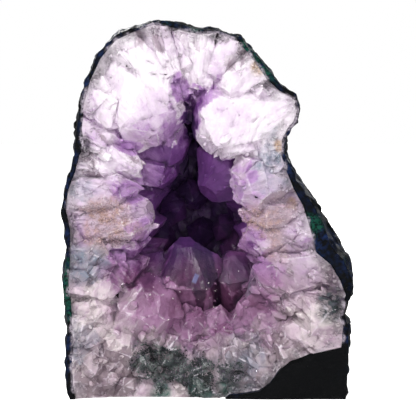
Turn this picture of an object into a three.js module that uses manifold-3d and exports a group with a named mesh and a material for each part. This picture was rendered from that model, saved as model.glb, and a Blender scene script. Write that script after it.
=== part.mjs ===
// Amethyst geode: a basalt nodule sawn open at the front and flat at the foot. The rind is
// lined with one crust of quartz crystals, and all of them point into the tall dark hollow.
import * as THREE from "three";
import { mergeVertices } from "three/addons/utils/BufferGeometryUtils.js";
import Module from "manifold-3d";

const wasm = await Module();
wasm.setup();

// Driving dimensions in millimetres. X runs right, Y from the open front to the back, Z up.
const DEPTH = 92; // front of the rim to the back of the rind
const WIDEST_AT = 0.3; // share of the depth where the nodule is widest
const MIDDLE = new THREE.Vector3(0, 36, 75); // the nodule's middle, which its rings close round
const BACK_ROUNDNESS = 2.2; // 2 is an ellipse, more is squarer
const EVEN_OUT = 0.07; // turn either way over which notches are evened out at the back
const EVEN_OUT_SHARES = [0.15, 0.8]; // shares of the depth where that starts and is full
const RIND_BACK = 5; // rind thickness at the back
const RIND_FRONT_SETBACK = 3; // how far the rind's rim stands behind the crystals
const CRUST_GAP = 0.5; // clearance between rind and crust
const CRUST_LIFT = 0.4; // the crust ends this far above the sawn foot
const CRUST_FRONT_SETBACK = 8; // the crystals stand this far out of the crust's own front
const RIM_SHARE = 0.45; // how far the rind's rim draws in from the silhouette to the crust
const FOOT_TOP_Z = 26; // below this height the rind's rim does not draw in
const LUMP = 2.4; // height of the lumps on the rind's back
const RIM_LUMP = 1.8; // height of the lumps on the broken front of the rim
const REACH = 260; // a length that passes clear of the whole nodule

const RING_POINTS = 56; // points round the nodule
const OUTER_RINGS = 8; // rings from front to back on the rind's outside
const INNER_RINGS = 6; // and on its inside
const FRONT_STEPS = 13; // squares across the uneven front

// The nodule seen from the front, clockwise from the left of the foot: the silhouette's X and Z,
// then X and Z of the line where the rind meets the crust. The last five lie below the foot.
const OUTLINE = [
  [-66, 0, -63.5, 0],
  [-68, 13, -65, 13],
  [-67, 27, -64.5, 27],
  [-69, 44, -65, 43],
  [-70, 54, -66.5, 54],
  [-68, 70, -65.5, 70],
  [-69, 83, -66, 83],
  [-70, 93, -68, 93],
  [-66, 107, -63.5, 107],
  [-64, 116, -61, 116],
  [-65, 122, -58.5, 121.5],
  [-63, 133, -60, 132],
  [-59, 149, -57, 147.5],
  [-54, 162, -52, 160],
  [-44.5, 173, -43, 170.5],
  [-32.5, 177.5, -32, 175],
  [-21.5, 180, -21.5, 177.5],
  [-8.5, 176.5, -8.5, 173],
  [3.5, 175.5, 3, 173.5],
  [15.5, 171.5, 14, 169],
  [22.5, 164, 20, 162],
  [29.5, 156, 25.5, 154],
  [34.5, 149.5, 31.5, 147.5],
  [41, 145, 39, 143],
  [43.5, 137, 41.5, 136],
  [41, 129, 38.5, 130],
  [36.5, 125.5, 35, 125.5],
  [36, 118, 34, 117],
  [40.5, 110, 37, 107.5],
  [46, 100.5, 41, 98],
  [53.5, 90, 47, 87],
  [60.5, 77, 49.5, 72],
  [67.5, 68.5, 57.5, 64.5],
  [70, 57.5, 63, 55],
  [69, 47.5, 65, 47.5],
  [63.5, 42, 61.5, 41.5],
  [68, 36.5, 63.5, 36],
  [66, 25, 62.5, 24.5],
  [66, 15, 44, 21],
  [65.5, 5.5, 36, 16.5],
  [65, 0, 30, 9],
  [60, -14, 25, 4],
  [40, -30, 8, 1],
  [0, -38, -4, -10],
  [-40, -30, -35, -22],
  [-62, -14, -59, -12],
];

// The hollow that the crystals grow into: its middle and half sizes at the crystals' roots.
const HOLLOW = { x: -8, in: 8, z: 86, halfX: 33, halfIn: 58, halfZ: 60 };

// A crystal's form. Lengths of the point go by the radius, and shifts by the point's length.
const SIDES = 6;
const POINT_STEEPNESS = 0.95; // length of the point over the radius
const POINT_SHARE = 0.75; // the most of a crystal's length that is its point
const ROOT_TAPER = 0.95; // radius at the root over the radius at the shoulder
const POINT_LEAN = [0.1, 0.5]; // how far the point leans back off the axis
const SHOULDER_SHIFT = [-0.3, 0.3]; // the column's sides end at uneven heights
const BREADTH = [0.95, 1.3]; // breadth of the column over its thickness
const ROLL = [-0.35, 0.35]; // turn of the broad side away from the front, in radians

// Crystals that stand out, each as root X, In, Z, tip X, In, Z and radius. In is the distance behind the
// front of the rim. An eighth number blunts the point: the radius of its end over the crystal's.
const CROWN_CRYSTALS = [
  [-54, 30, 158, -21, 3, 131, 18, 0.5],
  [-42, 12, 170, -15, 6, 142, 10],
  [-26, 8, 178, -14, 8, 144, 8],
  [-13, 10, 175, -9, 12, 138, 7],
  [-2, 7, 176, -4, 9, 141, 7],
  [11, 9, 171, 0, 10, 143, 9],
  [25, 12, 160, -1, 8, 142, 12],
  [46, 18, 138, -5, 6, 131, 17, 0.6],
  [40, 12, 127, 2, 7, 124, 10, 0.5],
  [-15, 34, 165, -9, 30, 132, 10],
  [6, 34, 160, -2, 32, 132, 10],
];
const LEFT_CRYSTALS = [
  [-60, 14, 146, -36, 3, 128, 10],
  [-62, 10, 130, -38, 6, 119, 8],
  [-66, 20, 116, -32, 4, 110, 13],
  [-66, 14, 95, -31, 6, 101, 11],
  [-68, 20, 80, -28, 8, 88, 13, 0.5],
  [-64, 14, 76, -27, 14, 76, 9],
  [-66, 16, 68, -44, 3, 64, 10],
  [-58, 22, 52, -29, 12, 66, 11],
  [-68, 12, 56, -40, 5, 51, 9],
  [-66, 18, 36, -41, 5, 46, 11],
  [-68, 12, 33, -47, 4, 31, 9],
  [-64, 14, 12, -50, 3, 24, 9],
  [-66, 12, 12, -52, 3, 7, 9],
  [-42, 28, 126, -11, 24, 117, 12, 0.5],
  [-46, 30, 112, -15, 26, 107, 12, 0.4],
  [-40, 34, 95, -17, 32, 99, 10],
  [-45, 36, 80, -20, 36, 84, 10],
  [-40, 36, 62, -20, 34, 72, 10],
];
const RIGHT_CRYSTALS = [
  [38, 12, 114, 18, 6, 117, 8],
  [40, 20, 107, 14, 5, 101, 13, 0.5],
  [43, 14, 86, 14, 9, 89, 10],
  [48, 12, 81, 14, 13, 73, 10],
  [54, 16, 66, 18, 14, 68, 9],
  [62, 22, 63, 22, 6, 57, 14, 0.4],
  [64, 14, 44, 22, 11, 48, 11],
  [64, 12, 40, 38, 4, 37, 10],
  [62, 12, 26, 29, 6, 34, 10],
  [46, 11, 21, 30, 3, 29, 8],
  [18, 30, 118, 1, 19, 99, 15, 0.4],
  [24, 36, 122, 2, 32, 116, 10],
  [30, 38, 92, 8, 36, 90, 11],
  [34, 36, 76, 12, 36, 80, 10],
];
const FOOT_CRYSTALS = [
  [-46, 22, 8, -38, 4, 34, 11],
  [-40, 28, 20, -27, 6, 52, 16, 0.5],
  [-13, 26, 20, -12, 9, 43, 11],
  [3, 26, 20, 6, 10, 44, 10],
  [20, 24, 20, 17, 9, 42, 10],
  [-10, 42, 28, -11, 19, 70, 18, 0.28],
  [-34, 34, 42, -22, 22, 69, 12],
  [18, 38, 34, 11, 23, 66, 12, 0.2],
  [27, 30, 46, 13, 22, 62, 10],
];

// Blunt chunks fill the rim between those crystals. Each is placed from the rind towards the hollow by a
// share of the way, leans forward by up to the tilt and strays to its sides.
const RIM_CHUNKS = {
  count: 45,
  radius: [4.6, 8.6],
  length: 15,
  share: [0.05, 0.65],
  rootIn: [9, 14],
  tilt: 0.7,
  stray: 0.6,
  flatten: 0.6, // they lie flatter than the straight way to the hollow's middle
};
// Short points face the front between the hollow and the foot, over this stretch of X and Z.
const FOOT_FIELD = {
  count: 24,
  x: -60,
  wide: 90,
  z: 1,
  high: 34,
  radius: [6, 10.5],
  length: 15,
  tipIn: [1, 5],
  sway: 5,
  rise: [-1.8, 7.2],
};
// The far wall's crystals are spread by the golden angle and point back at the opening.
const FAR_WALL = {
  count: 48,
  tilt: 1.45,
  rootShare: 1.12,
  tipShare: [0.75, 0.89],
  radius: [5.8, 9.8],
};
const GOLDEN_RATIO = (Math.sqrt(5) - 1) / 2;
const GOLDEN_ANGLE = Math.PI * (3 - Math.sqrt(5));

const BASALT = new THREE.MeshStandardMaterial({ color: 0x14161c, roughness: 0.75, metalness: 0 });
const AMETHYST = new THREE.MeshStandardMaterial({ color: 0x9a78b4, roughness: 0.2, metalness: 0 });

// A repeatable random number from 0 to 1 for each whole number.
function chance(seed) {
  const wave = Math.sin(seed * 127.1 + 311.7) * 43758.5453;
  return wave - Math.floor(wave);
}

// A repeatable random number between two limits.
function between([low, high], seed) {
  return low + (high - low) * chance(seed);
}

// Smooth lumps from -1 to 1, about 25 mm across.
function lumpAt(p) {
  return Math.sin(p.x * 0.13 + p.z * 0.06 + 0.5) * Math.cos(p.z * 0.12 - p.y * 0.1 + 1.3);
}

// A closed geometry as a solid that can be joined and cut.
function solidOf(geometry) {
  const bare = geometry.clone();
  bare.deleteAttribute("normal");
  bare.deleteAttribute("uv");
  const merged = mergeVertices(bare, 1e-4);
  return new wasm.Manifold(
    new wasm.Mesh({
      numProp: 3,
      vertProperties: merged.attributes.position.array,
      triVerts: new Uint32Array(merged.index.array),
    }),
  );
}

function geometryOf(solid) {
  const mesh = solid.getMesh();
  const geometry = new THREE.BufferGeometry();
  geometry.setAttribute("position", new THREE.BufferAttribute(mesh.vertProperties, 3));
  geometry.setIndex(new THREE.BufferAttribute(mesh.triVerts, 1));
  return geometry.toNonIndexed();
}

// The one body that counts: loose chips are dropped, and gaps sealed between crystals are filled.
function wholeOf(solid) {
  return solid.decompose().reduce((most, body) => (body.volume() > most.volume() ? body : most));
}

// One line of the outline as a closed smooth curve in the XZ plane.
function closedCurve(xColumn, zColumn) {
  const points = OUTLINE.map((row) => new THREE.Vector3(row[xColumn], 0, row[zColumn]));
  return new THREE.CatmullRomCurve3(points, true, "catmullrom", 0.5);
}

const silhouette = closedCurve(0, 1);
const crustLine = closedCurve(2, 3);

// A curve's point as it is at the front, with its notches evened out further back.
function evenedPoint(curve, turn, share) {
  const reach = EVEN_OUT * THREE.MathUtils.smoothstep(share, ...EVEN_OUT_SHARES);
  const point = new THREE.Vector3();
  const steps = [-1, -0.5, 0, 0.5, 1];
  steps.forEach((step) => point.add(curve.getPoint((turn + step * reach + 1) % 1)));
  return point.divideScalar(steps.length);
}

// Size of the nodule's ring at a share of its depth: full at the widest, closing to the back.
function ringScale(share) {
  const toBack = Math.max(0, (share - WIDEST_AT) / (1 - WIDEST_AT));
  return Math.sqrt(Math.max(0, 1 - toBack ** BACK_ROUNDNESS));
}

// A closed egg of rings. pointAt gives a ring's point from its turn and its share of the depth.
// The first ring is closed flat in front of the rim, and the last one at the back.
function egg(rings, depth, pointAt) {
  const frontY = -DEPTH / 4;
  const points = [new THREE.Vector3(MIDDLE.x, frontY, MIDDLE.z)];
  for (let ring = -1; ring < rings; ring += 1) {
    const share = Math.sin((Math.max(ring, 0) / rings) * (Math.PI / 2));
    for (let i = 0; i < RING_POINTS; i += 1) {
      const point = pointAt(i / RING_POINTS, share);
      if (ring < 0) point.y = frontY;
      points.push(point);
    }
  }
  points.push(new THREE.Vector3(MIDDLE.x, depth, MIDDLE.z));
  const at = (ring, i) => 1 + ring * RING_POINTS + (i % RING_POINTS);
  const last = points.length - 1;
  const faces = [];
  for (let i = 0; i < RING_POINTS; i += 1) {
    faces.push(0, at(0, i + 1), at(0, i));
    for (let ring = 0; ring < rings; ring += 1) {
      faces.push(at(ring, i), at(ring + 1, i + 1), at(ring + 1, i));
      faces.push(at(ring, i), at(ring, i + 1), at(ring + 1, i + 1));
    }
    faces.push(at(rings, i), at(rings, i + 1), last);
  }
  const geometry = new THREE.BufferGeometry().setFromPoints(points);
  geometry.setIndex(faces);
  return geometry;
}

// A curve's point on the ring at a share of the depth.
function ringPoint(curve, turn, share, depth) {
  const scale = ringScale(share);
  const point = evenedPoint(curve, turn, share);
  point.x = MIDDLE.x + (point.x - MIDDLE.x) * scale;
  point.z = MIDDLE.z + (point.z - MIDDLE.z) * scale;
  point.y = share * depth;
  return point;
}

function rindOutside() {
  return egg(OUTER_RINGS, DEPTH, (turn, share) => {
    const point = ringPoint(silhouette, turn, share, DEPTH);
    if (share < WIDEST_AT && point.z > FOOT_TOP_Z) {
      point.lerp(ringPoint(crustLine, turn, share, DEPTH), RIM_SHARE * (1 - share / WIDEST_AT));
    }
    const outward = point.clone().sub(MIDDLE).normalize();
    const height = LUMP * share;
    return point.addScaledVector(outward, height * lumpAt(point));
  });
}

// The inside of the rind, or the outside of the crust when it is drawn in by the gap.
function rindInside(gap) {
  const depth = DEPTH - RIND_BACK - LUMP - gap;
  return egg(INNER_RINGS, depth, (turn, share) => {
    const along = crustLine.getTangent(turn);
    const inward = new THREE.Vector3(along.z, 0, -along.x);
    const nearBack = Math.min(1, 2 * ringScale(share));
    return ringPoint(crustLine, turn, share, depth).addScaledVector(inward, gap * nearBack);
  });
}

// All that lies behind the broken front and above a level: the front is uneven by its lumps.
function behindFront(setback, level, lumps) {
  const block = new THREE.BoxGeometry(REACH, REACH, REACH, FRONT_STEPS, 1, FRONT_STEPS);
  block.translate(0, REACH / 2 + setback, REACH / 2 + level);
  const position = block.attributes.position;
  const point = new THREE.Vector3();
  for (let i = 0; i < position.count; i += 1) {
    point.fromBufferAttribute(position, i);
    const onFront = point.y < REACH / 2;
    if (onFront) position.setY(i, point.y + lumps * lumpAt(point));
  }
  return solidOf(block);
}

// A quartz crystal: a six-sided column under a six-sided point. It turns one broad side to the open
// front, and its point leans back, so that the face of the point over that side is the largest.
function crystal(row, seed) {
  const [rootX, rootIn, rootZ, tipX, tipIn, tipZ, radius, blunt = 0] = row;
  const root = new THREE.Vector3(rootX, rootIn, rootZ);
  const axis = new THREE.Vector3(tipX, tipIn, tipZ).sub(root);
  const length = axis.length();
  const pointLength = Math.min(radius * POINT_STEEPNESS * (1 - blunt), length * POINT_SHARE);
  const profile = [
    new THREE.Vector2(0, 0),
    new THREE.Vector2(radius * ROOT_TAPER, 0),
    new THREE.Vector2(radius, length - pointLength),
  ];
  if (blunt > 0) profile.push(new THREE.Vector2(radius * blunt, length));
  profile.push(new THREE.Vector2(0, length));
  const geometry = new THREE.LatheGeometry(profile, SIDES, -Math.PI / SIDES);
  const position = geometry.attributes.position;
  const lean = radius * between(POINT_LEAN, seed + 10);
  for (let i = 0; i < position.count; i += 1) {
    const side = Math.floor(i / profile.length) % SIDES;
    const level = i % profile.length;
    if (level === 2) {
      const shift = between(SHOULDER_SHIFT, seed + side);
      position.setY(i, position.getY(i) + pointLength * shift);
    }
    if (level > 2) position.setZ(i, position.getZ(i) - lean);
  }
  geometry.scale(between(BREADTH, seed + 7), 1, 1);
  const up = new THREE.Vector3(0, 1, 0);
  const turn = new THREE.Quaternion().setFromUnitVectors(up, axis.normalize());
  const front = new THREE.Vector3(0, -1, 0).applyQuaternion(turn.clone().invert());
  geometry.rotateY(Math.atan2(front.x, front.z) + between(ROLL, seed + 8));
  geometry.applyQuaternion(turn);
  geometry.translate(root.x, root.y, root.z);
  return solidOf(geometry);
}

// Chunks that fill the rim, spread round it by the golden ratio.
function rimChunks() {
  return Array.from({ length: RIM_CHUNKS.count }, (_, i) => {
    const root = crustLine.getPoint((i * GOLDEN_RATIO) % 1);
    const way = new THREE.Vector3(HOLLOW.x, 0, HOLLOW.z).sub(root);
    way.z *= RIM_CHUNKS.flatten;
    const room = way.length() - HOLLOW.halfX;
    way.normalize();
    root.addScaledVector(way, room * between(RIM_CHUNKS.share, i + 300));
    root.y = between(RIM_CHUNKS.rootIn, i + 400);
    way.x += RIM_CHUNKS.stray * (chance(i + 500) - 0.5);
    way.y -= RIM_CHUNKS.tilt * chance(i + 600);
    way.z += 2 * RIM_CHUNKS.stray * (chance(i + 650) - 0.5);
    const tip = root.clone().addScaledVector(way.normalize(), RIM_CHUNKS.length);
    return [...root.toArray(), ...tip.toArray(), between(RIM_CHUNKS.radius, i + 700)];
  });
}

// Short points that fill the front above the foot.
function footField() {
  return Array.from({ length: FOOT_FIELD.count }, (_, i) => {
    const x = FOOT_FIELD.x + FOOT_FIELD.wide * ((i * GOLDEN_RATIO) % 1);
    const z = FOOT_FIELD.z + FOOT_FIELD.high * ((i + 0.5) / FOOT_FIELD.count);
    const tipX = x + FOOT_FIELD.sway * (2 * chance(i + 830) - 1);
    const tipIn = between(FOOT_FIELD.tipIn, i + 860);
    const tipZ = z + between(FOOT_FIELD.rise, i + 890);
    return [x, tipIn + FOOT_FIELD.length, z, tipX, tipIn, tipZ, between(FOOT_FIELD.radius, i + 800)];
  });
}

// A point on the hollow's wall, at a share of the way out from its middle.
function onHollow(direction, share) {
  return [
    HOLLOW.x + direction.x * HOLLOW.halfX * share,
    HOLLOW.in + direction.y * HOLLOW.halfIn * share,
    HOLLOW.z + direction.z * HOLLOW.halfZ * share,
  ];
}

function farWallCrystals() {
  return Array.from({ length: FAR_WALL.count }, (_, i) => {
    const polar = FAR_WALL.tilt * Math.sqrt((i + 0.5) / FAR_WALL.count);
    const out = new THREE.Vector3().setFromSphericalCoords(1, polar, i * GOLDEN_ANGLE);
    const tipShare = between(FAR_WALL.tipShare, i + 40);
    const radius = between(FAR_WALL.radius, i + 90);
    return [...onHollow(out, FAR_WALL.rootShare), ...onHollow(out, tipShare), radius];
  });
}

// The basalt rind: the nodule less the room for the crust, sawn off flat at the foot.
function rindSolid() {
  const nodule = solidOf(rindOutside()).subtract(solidOf(rindInside(0)));
  return wholeOf(nodule.intersect(behindFront(RIND_FRONT_SETBACK, 0, RIM_LUMP / 2)));
}

// The crust: a thick lining with the hollow taken out of it and every crystal joined to it.
function crustSolid() {
  const envelope = solidOf(rindInside(CRUST_GAP));
  const hollow = new THREE.SphereGeometry(1, 18, 12);
  hollow.scale(HOLLOW.halfX, HOLLOW.halfIn, HOLLOW.halfZ);
  hollow.translate(HOLLOW.x, HOLLOW.in, HOLLOW.z);
  const lining = envelope
    .intersect(behindFront(CRUST_FRONT_SETBACK, CRUST_LIFT, RIM_LUMP))
    .subtract(solidOf(hollow));
  const rows = [
    ...CROWN_CRYSTALS,
    ...LEFT_CRYSTALS,
    ...RIGHT_CRYSTALS,
    ...FOOT_CRYSTALS,
    ...rimChunks(),
    ...footField(),
    ...farWallCrystals(),
  ];
  const crystals = rows
    .map((row, i) => crystal(row, i * 11))
    .reduce((all, one) => all.add(one));
  const trimmed = crystals.intersect(envelope).intersect(behindFront(0, CRUST_LIFT, RIM_LUMP));
  return wholeOf(lining.add(trimmed));
}

const rind = new THREE.Mesh(geometryOf(rindSolid()), BASALT);
rind.name = "rind";
const crust = new THREE.Mesh(geometryOf(crustSolid()), AMETHYST);
crust.name = "crystal_crust";

// The part's origin is the middle of its foot, so the geode is moved there from the front plane.
const geode = new THREE.Group();
geode.add(rind, crust);
const bounds = new THREE.Box3().setFromObject(geode);
const middle = bounds.getCenter(new THREE.Vector3());
[rind, crust].forEach((mesh) => mesh.position.set(-middle.x, -middle.y, -bounds.min.z));

export default geode;
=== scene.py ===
import math

import bmesh
import bpy
import numpy as np
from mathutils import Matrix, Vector, noise
from mathutils.bvhtree import BVHTree


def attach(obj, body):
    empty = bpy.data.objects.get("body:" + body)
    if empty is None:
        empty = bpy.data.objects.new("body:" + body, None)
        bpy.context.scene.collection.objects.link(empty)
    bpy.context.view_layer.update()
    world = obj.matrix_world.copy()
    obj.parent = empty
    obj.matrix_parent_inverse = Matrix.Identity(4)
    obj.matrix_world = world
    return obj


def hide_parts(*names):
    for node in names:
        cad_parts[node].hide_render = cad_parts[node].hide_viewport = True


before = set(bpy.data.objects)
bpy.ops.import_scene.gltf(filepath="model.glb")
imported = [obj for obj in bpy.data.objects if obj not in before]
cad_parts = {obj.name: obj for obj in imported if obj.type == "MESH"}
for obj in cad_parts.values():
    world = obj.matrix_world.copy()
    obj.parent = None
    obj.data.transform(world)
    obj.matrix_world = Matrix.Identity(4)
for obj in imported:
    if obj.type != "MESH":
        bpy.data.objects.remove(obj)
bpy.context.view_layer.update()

# The looks of a sawn amethyst geode: a crust of milky to purple quartz in a rind of dark basalt.
mm = 0.001  # lengths below are in millimetres unless a note says metres
floorGap = 0.2  # mm, by which loose grains and crystals stay off the floor
weldGap = 0.002  # mm, points nearer than this are one
sliver = 0.001  # mm, edges shorter than this are dropped
farthest = 40  # mm, distances from the rind are measured up to this
scene = bpy.context.scene


def toLinear(hexColour):
    parts = [int(hexColour[i : i + 2], 16) / 255 for i in (1, 3, 5)]
    return (*[c / 12.92 if c <= 0.04045 else ((c + 0.055) / 1.055) ** 2.4 for c in parts], 1.0)


def addNode(tree, kind, settings, output=0):
    node = tree.nodes.new("ShaderNode" + kind)
    for key, value in settings.items():
        if isinstance(value, bpy.types.NodeSocket):
            tree.links.new(value, node.inputs[key])
        elif isinstance(key, str) and hasattr(node, key):
            setattr(node, key, value)
        else:
            node.inputs[key].default_value = toLinear(value) if isinstance(value, str) else value
    return node.outputs[output] if node.outputs else node


def newMaterial(name):
    material = bpy.data.materials.new(name)
    material.use_nodes = True
    material.node_tree.nodes.clear()
    return material, material.node_tree


def smooth(start, end, x):
    t = np.clip((x - start) / (end - start), 0, 1)
    return t * t * (3 - 2 * t)


def noiseAt(points, size, shift=0.0):
    # the shift keeps two noises apart
    return np.array([noise.noise(p) for p in (points / size + shift).tolist()])


def addObject(name, mesh, material, body="root"):
    mesh.materials.clear()
    mesh.materials.append(material)
    piece = bpy.data.objects.new(name, mesh)
    scene.collection.objects.link(piece)
    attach(piece, body)
    return piece


def pointsOf(mesh):
    flat = np.empty(len(mesh.vertices) * 3)
    mesh.vertices.foreach_get("co", flat)
    return flat.reshape(-1, 3) / mm


def normalsOf(mesh):
    flat = np.empty(len(mesh.vertices) * 3)
    mesh.vertex_normals.foreach_get("vector", flat)
    return flat.reshape(-1, 3)


def placePoints(mesh, points):
    mesh.vertices.foreach_set("co", (points * mm).ravel())
    mesh.update()


def writeLayer(mesh, name, values):
    layer = mesh.attributes.new(name, "FLOAT", "POINT")
    layer.data.foreach_set("value", np.asarray(values, dtype=np.float32))


def trianglesOf(mesh):
    mesh.calc_loop_triangles()
    corners = np.empty(len(mesh.loop_triangles) * 3, dtype=np.int64)
    mesh.loop_triangles.foreach_get("vertices", corners)
    return corners.reshape(-1, 3)


def cornersOf(mesh):
    # the three corners of every triangle, and their numbers
    corners = trianglesOf(mesh)
    return *(pointsOf(mesh)[corners[:, i]] for i in range(3)), corners


def layerOf(mesh, name):
    values = np.empty(len(mesh.vertices))
    mesh.attributes[name].data.foreach_get("value", values)
    return values


def weldedCopy(node):
    # a solid's mesh as one welded skin of triangles, without slivers
    bm = bmesh.new()
    bm.from_mesh(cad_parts[node].data)
    bmesh.ops.remove_doubles(bm, verts=bm.verts, dist=weldGap * mm)
    bmesh.ops.dissolve_degenerate(bm, edges=bm.edges, dist=sliver * mm)
    bmesh.ops.triangulate(bm, faces=bm.faces)
    return bm


def refine(bm, longest, wanted, rounds=6):
    # halves long edges until the faces that are wanted are fine enough to be shaped
    for _ in range(rounds):
        edges = [
            e for e in bm.edges if e.calc_length() > longest * mm and any(wanted(f) for f in e.link_faces)
        ]
        if not edges:
            break
        bmesh.ops.subdivide_edges(bm, edges=edges, cuts=1)
        bmesh.ops.triangulate(bm, faces=[f for f in bm.faces if len(f.verts) > 3])


rindTree = BVHTree.FromPolygons(
    [v.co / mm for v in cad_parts["rind"].data.vertices],
    [p.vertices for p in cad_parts["rind"].data.polygons],
)


def distanceTo(tree, points, most):
    return np.array([tree.find_nearest(Vector(p), most)[3] or most for p in points.tolist()])


def distanceToRind(points):
    return distanceTo(rindTree, points, farthest)


growthMiddle = (-7, 0, 92)  # mm, the crystals grow from the rind towards this middle of the hollow
growthRadius = 55  # mm, typical distance from it
columnBend = (9.0, 0.4)  # mm over which the columns bend, and by how much of their width


def cellsAt(points, size):
    # the quartz is split into columns that grew out from the hollow: where each point lies among them
    fromMiddle = points - np.array(growthMiddle)
    turn = np.arctan2(fromMiddle[:, 0], fromMiddle[:, 2])
    away = np.hypot(fromMiddle[:, 0], fromMiddle[:, 2])
    bend = columnBend[1] * noiseAt(points, columnBend[0], 4.1)
    scale = np.array([growthRadius / size[0], 1 / size[1], 1 / size[2]])
    places = np.stack([turn, away, fromMiddle[:, 1]], axis=1) * scale + bend[:, None]
    found = [noise.voronoi(spot) for spot in places.tolist()]
    owners = np.array([owner[0] for _, owner in found])
    seams = np.array([far[1] - far[0] for far, _ in found])
    return places, owners, seams, scale


def cellCentres(points, size):
    _, owners, _, scale = cellsAt(points, size)
    turn, away, depth = (owners / scale).T
    spots = np.stack([away * np.sin(turn), depth, away * np.cos(turn)], axis=1)
    return spots + np.array(growthMiddle)


# Where each kind of quartz lies, seen from the front. A patch is x, z and radius in mm, and its strength.
zones = {
    "middle": (-7, 84),  # mm, x and z of the middle of the purple round the hollow
    "half": (24, 46, 56),  # mm, its half width, half height above and half height below
    "innerFade": (1.4, 0.68, 0.6),  # of those halves: where it begins, is full, and how ragged it is
    "cell": (6.0, 12.0, 12.0),  # mm, columns that each have one colour: across, along and into the rim
    "gather": 0.7,  # share by which a column keeps to its colour
    "broad": (13.0, 0.3),  # mm, over which the zones wander, and how much, in radii
    "fine": (5.0, 0.2),  # the same for the raggedness of their borders
    "fade": (1.25, 0.55),  # of a patch's radius: where it begins and is full
    "front": (-22, -34),  # mm, depths at which the broken front begins and is full
    "deep": (-34, 20, 5),  # mm, depths where the hollow begins to darken and is dark, and their wander; the darkening is partly the crystals' own purple, partly painted shade
    "innerPurple": (0.5, 0.4),  # round the hollow: at the front, and added in its depth
    "outerPurple": (0.7, -34, -6),  # away from it: most, and depths in mm where it begins and is full
    "shade": (0.1, -30, -10),  # purple added behind the front as painted shade in the gaps: most, and those depths
    "bleach": 0.85,  # of the purple that milk takes away at the front
    "mottle": 0.1,  # how much the purple varies
    "mauve": (84, 48, 10),  # mm, heights where violet begins to turn mauve and has, and their wander; the colours below are darker, partly as painted shade
    "milkyAndLitTop": (0.35, 70, 125),  # milkier upwards, partly as painted light on the top: most, and heights in mm where it begins and is full
    "haze": 0.05,  # milk that is everywhere
    "skin": (0.6, 6.0, 0.8, 5),  # dull skin: most, mm from the rind where it begins and is full, wander
    "columnRagged": 0.5,  # raggedness of the milk and the violet, which keep to their columns
    "ragged": {  # raggedness of the other patches
        "stain": 1.4, "ochre": 1.2, "rock": 0.7, "celadon": 1.0, "moss": 1.4, "bare": 1.0,
        "chalcedony": 1.0,
    },
    "milk": [
        (-36, 146, 26, 1.5), (20, 136, 27, 1.7), (-6, 160, 18, 0.8), (-50, 54, 8, 0.9), (-57, 44, 13, 1.0),
        (52, 38, 15, 0.9), (-43, 115, 10, 1.0), (-61, 12, 6, 0.3), (34, 150, 14, 1.1), (-15, 3, 5, 1.0),
        (-42, 34, 9, 0.8), (-58, 132, 10, 0.8), (50, 66, 10, 0.7), (48, 80, 8, 0.9),
    ],
    # of the violet patches, the three small strong ones at x -9 to -8 mm and z 125 to 139 mm are painted
    # shade in the slit above the hollow
    "violet": [
        (-15, 127, 8, 0.36), (-24, 121, 7, 0.3), (-15, 147, 6, 0.42), (-1, 146, 6, 0.5), (-9, 139, 4, 0.9),
        (-8, 132, 4, 1.0), (-8, 125, 4, 1.0), (-36, 99, 7, 0.42), (-32, 78, 7, 0.55), (-41, 63, 9, 0.5),
        (-32, 58, 9, 0.68), (-28, 50, 6, 0.6), (22, 62, 9, 0.42), (22, 74, 8, 0.6), (17, 84, 6, 0.5),
        (14, 54, 7, 0.62), (8, 38, 8, 0.5), (20, 108, 7, 0.34),
    ],
    "rock": [(-60, 121, 6, 1.0), (3, 175, 5, 1.0), (-65, 80, 3, 0.8), (65, 44, 5, 0.9)],
    "celadon": [(-23, 3, 5, 0.9), (-3, 3, 7, 0.9), (8, 5, 5, 0.7)],
    "bare": [(-15, 2, 6, 1.0)],  # where the moss leaves the quartz bare
    "ochre": [(24, 157, 4, 0.9), (43, 100, 3.5, 0.9), (34, 120, 3, 0.8), (40, 94, 3, 0.6)],
    "stain": [(-46, 84, 13, 0.9), (-54, 79, 9, 0.8), (25, 85, 10, 0.9), (36, 91, 8, 0.5), (32, 70, 6, 0.5)],
    "moss": [(-22, 15, 14, 1.0), (-6, 11, 14, 1.0), (10, 10, 11, 0.7), (-29, 22, 8, 0.6), (58, 46, 8, 1.0)],
    "chalcedony": [
        (-58, 66, 12, 0.8), (15, 60, 9, 0.4), (30, 116, 9, 0.9), (-58, 101, 7, 0.4), (-58, 28, 8, 0.5),
        (38, 100, 7, 0.3), (16, 15, 14, 0.6), (28, 104, 9, 0.45),
    ],
}
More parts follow.
